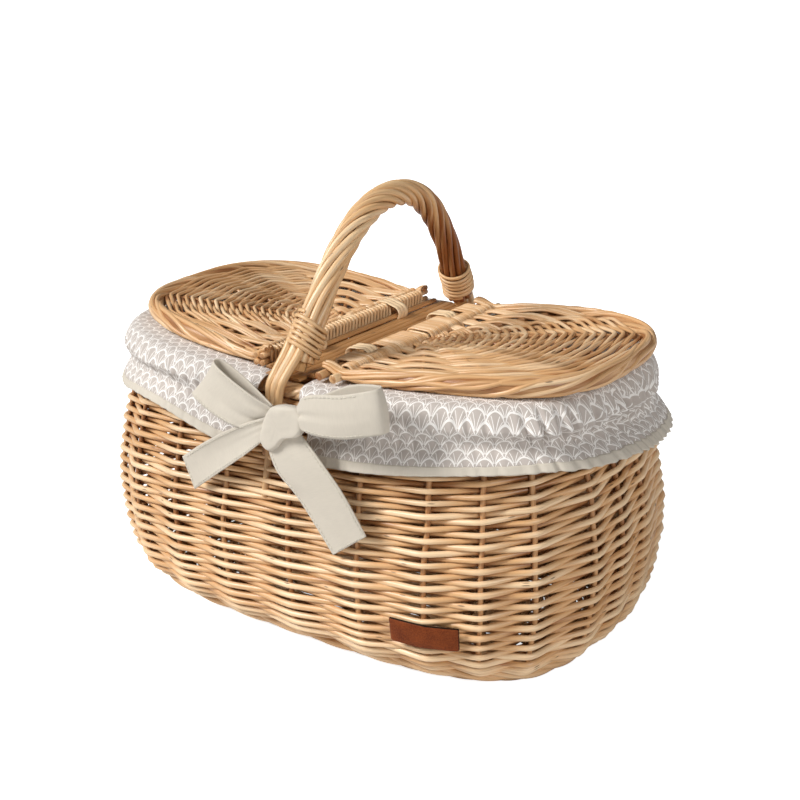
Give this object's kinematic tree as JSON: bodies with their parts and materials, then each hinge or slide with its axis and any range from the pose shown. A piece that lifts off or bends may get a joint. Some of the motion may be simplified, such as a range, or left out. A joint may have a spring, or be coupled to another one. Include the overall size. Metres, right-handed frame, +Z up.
{
  "type": "picnic basket",
  "caption": "Oval woven willow picnic basket with hinged lids on a centre bridge, a roped bow handle and a gathered cloth valance tied with a ribbon bow",
  "frame": {"origin": "middle of the flat underside of the woven base", "axes": "+X along the basket's length towards the right lid, +Y towards the back, away from the bow, +Z up"},
  "size_m": [0.4582, 0.3166, 0.3432],
  "materials": {
    "willow": "peeled and steamed willow rods, satin, warm tan with browner and paler rods",
    "willow_dark": "smooth brown willow rods and lath, satin",
    "willow_pale": "pale straw-coloured willow rods and skeins, satin",
    "print_cloth": "matt cotton, warm grey with a white fan-scale print",
    "sage_cloth": "matt plain-weave cotton, sage beige, stitched edges",
    "leather": "smooth brown leather, bare"
  },
  "bodies": {
    "basket": {"base_weave": "willow", "bottom_wale": "willow", "wall_weave": "willow", "top_border": "willow", "valance_left": "print_cloth", "valance_right": "print_cloth", "hem_band_left": "sage_cloth", "hem_band_right": "sage_cloth", "bridge_rod_left": "willow_dark", "bridge_rod_right": "willow_dark", "bridge_lath": "willow_dark", "handle_core": "willow", "handle_rope": "willow_pale", "handle_foot_front_1": "willow_pale", "handle_foot_front_2": "willow_pale", "handle_foot_front_3": "willow_pale", "handle_foot_back_1": "willow_pale", "handle_foot_back_2": "willow_pale", "handle_foot_back_3": "willow_pale", "handle_binding_front": "willow_pale", "handle_binding_back": "willow_pale", "bow_knot": "sage_cloth", "bow_loop_left": "sage_cloth", "bow_loop_right": "sage_cloth", "bow_tail_left": "sage_cloth", "bow_tail_right": "sage_cloth", "lid_right_hinge_loop_front": "willow_pale", "lid_right_hinge_loop_back": "willow_pale", "leather_patch": "leather"},
    "lid_left": {"lid_left_hinge_rod_1": "willow_pale", "lid_left_hinge_rod_2": "willow_pale", "lid_left_hinge_rod_3": "willow_pale", "lid_left_hinge_rod_4": "willow_pale", "lid_left_hinge_loop_front": "willow_pale", "lid_left_hinge_loop_back": "willow_pale", "lid_left_border": "willow", "lid_left_weave": "willow"},
    "lid_right": {"lid_right_hinge_rod_1": "willow_pale", "lid_right_hinge_rod_2": "willow_pale", "lid_right_border": "willow", "lid_right_weave": "willow"}
  },
  "joints": [
    {"name": "lid_left_hinge", "type": "hinge", "parent": "basket", "child": "lid_left", "pos_m": [-0.024, 0, 0.2208], "axis": [0, 1, 0], "range_deg": [0, 80]},
    {"name": "lid_right_hinge", "type": "hinge", "parent": "basket", "child": "lid_right", "pos_m": [0.0253, 0, 0.2212], "axis": [0, -1, 0], "range_deg": [0, 80]}
  ]
}
